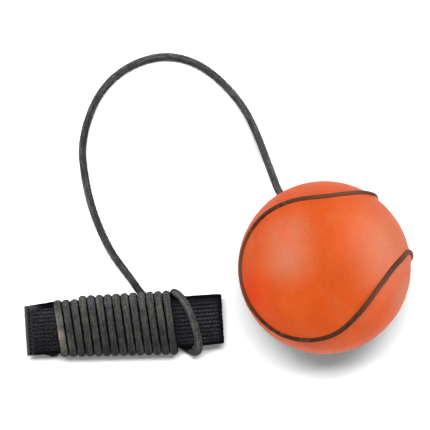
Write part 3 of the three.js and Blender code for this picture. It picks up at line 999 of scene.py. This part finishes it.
def ballRubber():
    smoothest, roughest = ballLook["roughness"]
    material, tree, shader = newMaterial("orangeRubber", smoothest, ballLook["specular"])
    vector = coordinates(tree)
    grain = grainOf(tree, vector, ballLook)
    speckle = mapRange(tree, grain["Mottle"], 0.0, 1.0, 0.2, 0.8)
    sand = mapRange(tree, noiseNode(tree, vector, 1500.0, 2.0, 0.7), 0.35, 0.65, 0.94, 1.06)
    cloud = noiseNode(tree, vector, 55.0, 3.0, 0.55)
    # pale dusty clouds, and painted highlights at the listed spots
    dustAndHighlight = withSpots(tree, vector, mapRange(tree, cloud, 0.52, 0.75, 0.0, 0.4), ballLook["paintedHighlightSpots"])
    # deeper red clouds, and a painted sheenless patch at the listed spot
    deepAndSheenless = withSpots(tree, vector, mapRange(tree, cloud, 0.28, 0.45, 0.4, 0.0), ballLook["paintedSheenlessSpots"])
    colour = mixColours(tree, speckle, ballLook["low"], ballLook["high"])
    colour = mixColours(tree, deepAndSheenless, mixColours(tree, dustAndHighlight, colour, ballLook["dustAndHighlight"]), ballLook["deepAndSheenless"])
    colourTo(tree, shader, scaleColour(tree, colour, sand))
    uneven = mapRange(tree, grain["Height"], 0.3, 0.7, smoothest, roughest)
    tree.links.new(uneven, shader.inputs["Roughness"])
    bumpTo(tree, shader, grain["Height"], ballLook["bump"])
    return material


ribLook = {
    "low": (0.042, 0.012, 0.006, 1),
    "high": (0.07, 0.022, 0.011, 1),
    "worn": (0.2, 0.075, 0.045, 1),
    "wornCloud": 0.5,  # how much of the worn colour the clouds and the spots take
    "wornSpot": 0.55,
    "grain": 2600.0,
    "bump": 0.00008,
    "wornSpots": [((0.1, 0.8, 0.6), 0.03), ((-0.95, 0.0, 0.3), 0.022), ((0.6, -0.33, 0.73), 0.02),
                  ((0.93, 0.13, 0.35), 0.014)],
}


def ribRubber():
    material, tree, shader = newMaterial("darkRubber", roughness=0.6, specular=0.05)
    vector = coordinates(tree)
    grain = grainOf(tree, vector, ribLook)
    cloud = mapRange(tree, noiseNode(tree, vector, 420.0, 3.0, 0.6), 0.5, 0.7)
    worn = withSpots(tree, vector, times(tree, cloud, ribLook["wornCloud"]), ribLook["wornSpots"],
                     ribLook["wornSpot"])
    colour = mixColours(tree, grain["Mottle"], ribLook["low"], ribLook["high"])
    colourTo(tree, shader, mixColours(tree, worn, colour, ribLook["worn"]))
    bumpTo(tree, shader, grain["Height"], ribLook["bump"])
    return material


def cordSleeve(name, look):
    material, tree, shader = newMaterial(name, roughness=0.85, specular=0.02)
    braid = placeGroup(tree, braidFibre, {"UV": weaveOf(tree)})
    colour = mixColours(tree, braid["Fibre"], look["dark"], look["light"])
    colour = mixColours(tree, times(tree, braid["Mottle"], cordForm["tinted"]), colour, look["tint"])
    colour = mixColours(tree, times(tree, braid["Streak"], look["streaky"]), colour, look["streak"])
    for place, reach, worn in look.get("wornSpots", []):
        colour = mixColours(tree, softSpot(tree, coordinates(tree), place, reach), colour, worn)
    # dark where the stored number is low, for unworn fibre and for painted shade and shadow; pale where
    # worn and on the painted sheen
    if "unwornAndShaded" in look:
        wearShadeAndSheen = addNode(tree, "ShaderNodeAttribute", attribute_name="wearShadeAndSheen").outputs["Fac"]
        colour = mixColours(tree, wearShadeAndSheen, look["unwornAndShaded"], colour)
    colourTo(tree, shader, scaleColour(tree, colour, braid["Fuzz"]))
    bumpTo(tree, shader, braid["Height"], cordForm["bump"])
    return material


webbingLook = {
    "ground": (0.0045, 0.0048, 0.0062, 1),
    "rib": (0.082, 0.08, 0.09, 1),
    "shadowUnderWinding": (0.003, 0.003, 0.0035, 1),  # painted shadow under the winding
    "sealed": (0.075, 0.075, 0.076, 1),
    "sewn": (0.034, 0.034, 0.034, 1),
    "ripple": 0.07,  # of the rows, as a share of one
    # from and to, in millimetres along the strap from its sewn end or across it from its near edge
    # where the painted shadow under the winding starts and ends
    "windingShadowFrom": (13.9, 15.1),
    "windingShadowTo": (58.9, 60.1),
    "dimming": (8.5, 14.5),
    "farRows": (3.0, 15.0),
    "farRowsEnd": (14.5, 16.5),
    # painted shadow of the turns: the rows stay dim until this slanted line past the slack turn
    "pastTurnShadow": (63.5, 70.5),
    "lean": 0.3,
    "plainEdge": (0.6, 1.2),  # in from either edge
    "plainFold": (3.2, 2.7),  # back from the fold
    "sewnZone": (2.8, 3.3),
    "sealedEdge": (0.75, 1.1),
    "frayed": (2.0, 8.0),
    "frayedEdge": (19.0, 19.6),
    "bump": 0.00008,
}


def strapWebbing():
    look = webbingLook
    material, tree, shader = newMaterial("blackWebbing", roughness=0.9, specular=0.0)
    uv = weaveOf(tree)
    parts = addNode(tree, "ShaderNodeSeparateXYZ", {0: uv}).outputs
    along, across = parts["X"], parts["Y"]
    width, fold, pitch = strapForm["width"] * 1000, strapLength * 500, strapForm["loopPitch"] * 1000

    def before(low, high):
        return mapRange(tree, along, low, high, 1.0, 0.0)

    # wavy rows of loops
    uneven = times(tree, noiseNode(tree, uv, 0.5), 5.0)
    phase = mathNode(tree, "ADD", times(tree, along, 2 * pi / pitch), uneven)
    ripple = times(tree, mathNode(tree, "SINE", phase), look["ripple"])
    row = mathNode(tree, "ADD", times(tree, across, strapForm["rows"] / width), ripple)
    inRow = mathNode(tree, "SINE", times(tree, mathNode(tree, "FRACT", row), pi))
    crest = mapRange(tree, inRow, 0.3, 1.0)
    speckle = mapRange(tree, noiseNode(tree, uv, 1.7, 2.0, 0.7), 0.4, 0.6, 0.25, 1.0)
    patchy = mapRange(tree, noiseNode(tree, uv, 0.13, 3.0, 0.6), 0.4, 0.6, 0.5, 1.0)
    # palest on the far side of the sewn end and past the slack turn; between the winding and the slack turn
    # the rows are dimmed as painted shadow of the turns
    farRows = times(tree, mapRange(tree, across, *look["farRows"], 0.3, 1.0), before(*look["farRowsEnd"]))
    leaning = mathNode(tree, "ADD", along, times(tree, across, look["lean"]))
    shown = mathNode(tree, "MAXIMUM", farRows, mapRange(tree, leaning, *look["pastTurnShadow"], 0.35, 1.0))
    shown = times(tree, shown, mapRange(tree, along, *look["dimming"], 1.0, 0.75))
    edge = mathNode(tree, "MINIMUM", across, mathNode(tree, "SUBTRACT", width, across))
    ribbed = mapRange(tree, edge, *look["plainEdge"])
    beforeFold = before(*(fold - back for back in look["plainFold"]))
    dash = times(tree, crest, speckle, shown, patchy, ribbed, beforeFold)
    flecks = mapRange(tree, noiseNode(tree, uv, 1.7, 1.0), 0.48, 0.62)
    flecks = times(tree, flecks, mathNode(tree, "ADD", times(tree, farRows, 0.22), 0.2), ribbed)
    dash = mathNode(tree, "MAXIMUM", dash, flecks)
    colour = mixColours(tree, dash, look["ground"], look["rib"])
    # painted shadow under the winding, and grey where it is sewn, sealed and frayed
    windingShadow = times(tree, mapRange(tree, along, *look["windingShadowFrom"]), before(*look["windingShadowTo"]))
    colour = mixColours(tree, windingShadow, colour, look["shadowUnderWinding"])
    sewn = times(tree, before(*look["sewnZone"]), speckle)
    colour = mixColours(tree, sewn, colour, look["sewn"])
    frayed = times(tree, mapRange(tree, across, *look["frayedEdge"]),
                   mapRange(tree, along, *look["frayed"], 0.8, 0.0))
    sealed = mathNode(tree, "MAXIMUM", before(*look["sealedEdge"]), frayed)
    colourTo(tree, shader, mixColours(tree, sealed, colour, look["sealed"]))
    knit = noiseNode(tree, uv, 3.0, 2.0, 0.6)
    bumpTo(tree, shader, mathNode(tree, "ADD", dash, knit), look["bump"])
    return material


threadLook = {"low": (0.003, 0.003, 0.003, 1), "high": (0.008, 0.008, 0.008, 1), "strands": 6000.0}


def stitchThread():
    material, tree, shader = newMaterial("blackThread", roughness=0.7, specular=0.0)
    strands = noiseNode(tree, coordinates(tree), threadLook["strands"])
    colourTo(tree, shader, mixColours(tree, strands, threadLook["low"], threadLook["high"]))
    return material


washerLook = {"low": (0.62, 0.59, 0.52, 1), "high": (0.7, 0.67, 0.6, 1), "grain": 1800.0, "bump": 0.00003}


def washerPlastic():
    material, tree, shader = newMaterial("paleWasher", roughness=0.5, specular=0.5)
    grain = grainOf(tree, coordinates(tree), washerLook)
    colourTo(tree, shader, mixColours(tree, grain["Mottle"], washerLook["low"], washerLook["high"]))
    bumpTo(tree, shader, grain["Height"], washerLook["bump"])
    return material


def cover(material, *pieces):
    for piece in pieces:
        piece.data.materials.append(material)


cover(ballRubber(), cordShell, plainShell, ribFillet)
for piece in (cordShell, plainShell, ribFillet):
    piece.visible_diffuse = False  # throws no orange light, so the shadow stays grey
cover(ribRubber(), seamRib)
# the darkest colour of each sleeve serves for unworn fibre and for painted shade and shadow
charcoalLook = {
    "dark": (0.034, 0.034, 0.032, 1), "light": (0.124, 0.124, 0.112, 1), "tint": (0.06, 0.06, 0.066, 1),
    "streak": (0.22, 0.22, 0.21, 1), "streaky": 0.6, "unwornAndShaded": (0.006, 0.006, 0.006, 1),
}
wornLook = {
    "dark": (0.046, 0.046, 0.042, 1), "light": (0.165, 0.162, 0.144, 1), "tint": (0.07, 0.071, 0.083, 1),
    "streak": (0.22, 0.214, 0.19, 1), "streaky": 0.5, "unwornAndShaded": (0.004, 0.004, 0.004, 1),
    # along the first turn, as (place, reach, colour)
    "wornSpots": [((-0.0658, -0.0205, 0.0128), 0.006, (0.25, 0.243, 0.218, 1)),
                  ((-0.0631, -0.031, 0.0128), 0.006, (0.31, 0.295, 0.257, 1)),
                  ((-0.0642, -0.0275, 0.0128), 0.0043, (0.66, 0.54, 0.46, 1))],
}
blackLook = {
    "dark": (0.008, 0.008, 0.008, 1), "light": (0.03, 0.03, 0.03, 1), "tint": (0.014, 0.014, 0.014, 1),
    "streak": (0.03, 0.03, 0.03, 1), "streaky": 0.3,
}
cover(cordSleeve("charcoalSleeve", charcoalLook), freeCord, ballKnot)
cover(cordSleeve("wornSleeve", wornLook), woundCord)
cover(cordSleeve("blackSleeve", blackLook), strapKnot)
cover(strapWebbing(), strap)
cover(stitchThread(), stitches)
washer = frame["nodes"]["stopper_washer"]
washer.data.materials.clear()
cover(washerPlastic(), washer)
print("finishes on")


# Pale table, a long soft light overhead, low fills all round, and two panels that only gleam

stageForm = {
    "floorSize": 3.0,
    "floorDrop": 0.00005,
    "floorSeen": 1.35,  # its shade to the camera, over 1 so that the palest part of a shadow is white
    "floorBounce": 0.68,  # its shade to the pieces on it
    "floorGlow": 0.01,
    "skyLight": 0.08,
    "lampsAway": 0.8,
    "lampsAim": 0.5,  # share of the way to the ball's middle
}
fill = {"size": (0.6, 0.1), "gleams": False}
lamps = {
    "overhead": {"way": (-0.03, 0.32, 1.0), "power": 101.0, "size": (2.0, 0.8), "away": 3.0,
                 "gleams": False},
    "leftFill": {"way": (-1.0, -0.15, 0.1), "power": 1.5, **fill},
    "rightFill": {"way": (1.0, -0.3, 0.1), "power": 1.7, **fill},
    "backFill": {"way": (0.0, 1.0, 0.15), "power": 0.7, **fill},
    "frontFill": {"way": (0.05, -1.0, 0.1), "power": 2.4, **fill},
    "leftPanel": {"way": (-0.74, 0.28, 0.62), "power": 13.0, "size": (0.6, 0.8), "shines": False},
    "rightPanel": {"way": (0.9, 0.26, 0.14), "power": 40.0, "size": (1.5, 0.9), "shines": False},
}


# 1 for rays that come straight from the camera or off a shiny face
def seenDirectly(tree):
    path = addNode(tree, "ShaderNodeLightPath").outputs
    rays = mathNode(tree, "MAXIMUM", path["Is Camera Ray"], path["Is Glossy Ray"])
    return mathNode(tree, "MAXIMUM", rays, path["Is Transmission Ray"])


def layTable():
    bm = bmesh.new()
    bmesh.ops.create_grid(bm, x_segments=1, y_segments=1, size=stageForm["floorSize"])
    bmesh.ops.translate(bm, verts=bm.verts, vec=(0, 0, -stageForm["floorDrop"]))
    table = meshObject("paleTable", bm)
    material = bpy.data.materials.new("paleTable")
    material.use_nodes = True
    tree = material.node_tree
    tree.nodes.clear()
    seen = seenDirectly(tree)
    shade = mapRange(tree, seen, 0.0, 1.0, stageForm["floorBounce"], stageForm["floorSeen"])
    matt = addNode(tree, "ShaderNodeBsdfDiffuse", {"Color": shade})
    glow = addNode(tree, "ShaderNodeEmission", {"Strength": times(tree, seen, stageForm["floorGlow"])})
    both = addNode(tree, "ShaderNodeAddShader", {0: matt.outputs[0], 1: glow.outputs[0]})
    addNode(tree, "ShaderNodeOutputMaterial", {"Surface": both.outputs[0]})
    table.data.materials.append(material)


def lightStage():
    world = bpy.data.worlds.new("paleSky")
    scene.world = world
    world.use_nodes = True
    tree = world.node_tree
    background = tree.nodes["Background"]
    background.inputs["Color"].default_value = (1, 1, 1, 1)
    strength = mapRange(tree, seenDirectly(tree), 0.0, 1.0, stageForm["skyLight"], 1.0)
    tree.links.new(strength, background.inputs["Strength"])
    for name, lamp in lamps.items():
        data = bpy.data.lights.new(name, "AREA")
        data.energy, data.shape = lamp["power"], "RECTANGLE"
        data.size, data.size_y = lamp["size"]
        light = bpy.data.objects.new(name, data)
        way = Vector(lamp["way"]).normalized()
        away = lamp.get("away", stageForm["lampsAway"])
        light.location = ballMiddle * stageForm["lampsAim"] + way * away
        light.rotation_euler = (-way).to_track_quat("-Z", "Y").to_euler()
        light.visible_camera = False
        light.visible_glossy = lamp.get("gleams", True)
        light.visible_diffuse = lamp.get("shines", True)
        scene.collection.objects.link(light)


layTable()
lightStage()
print("stage lit")
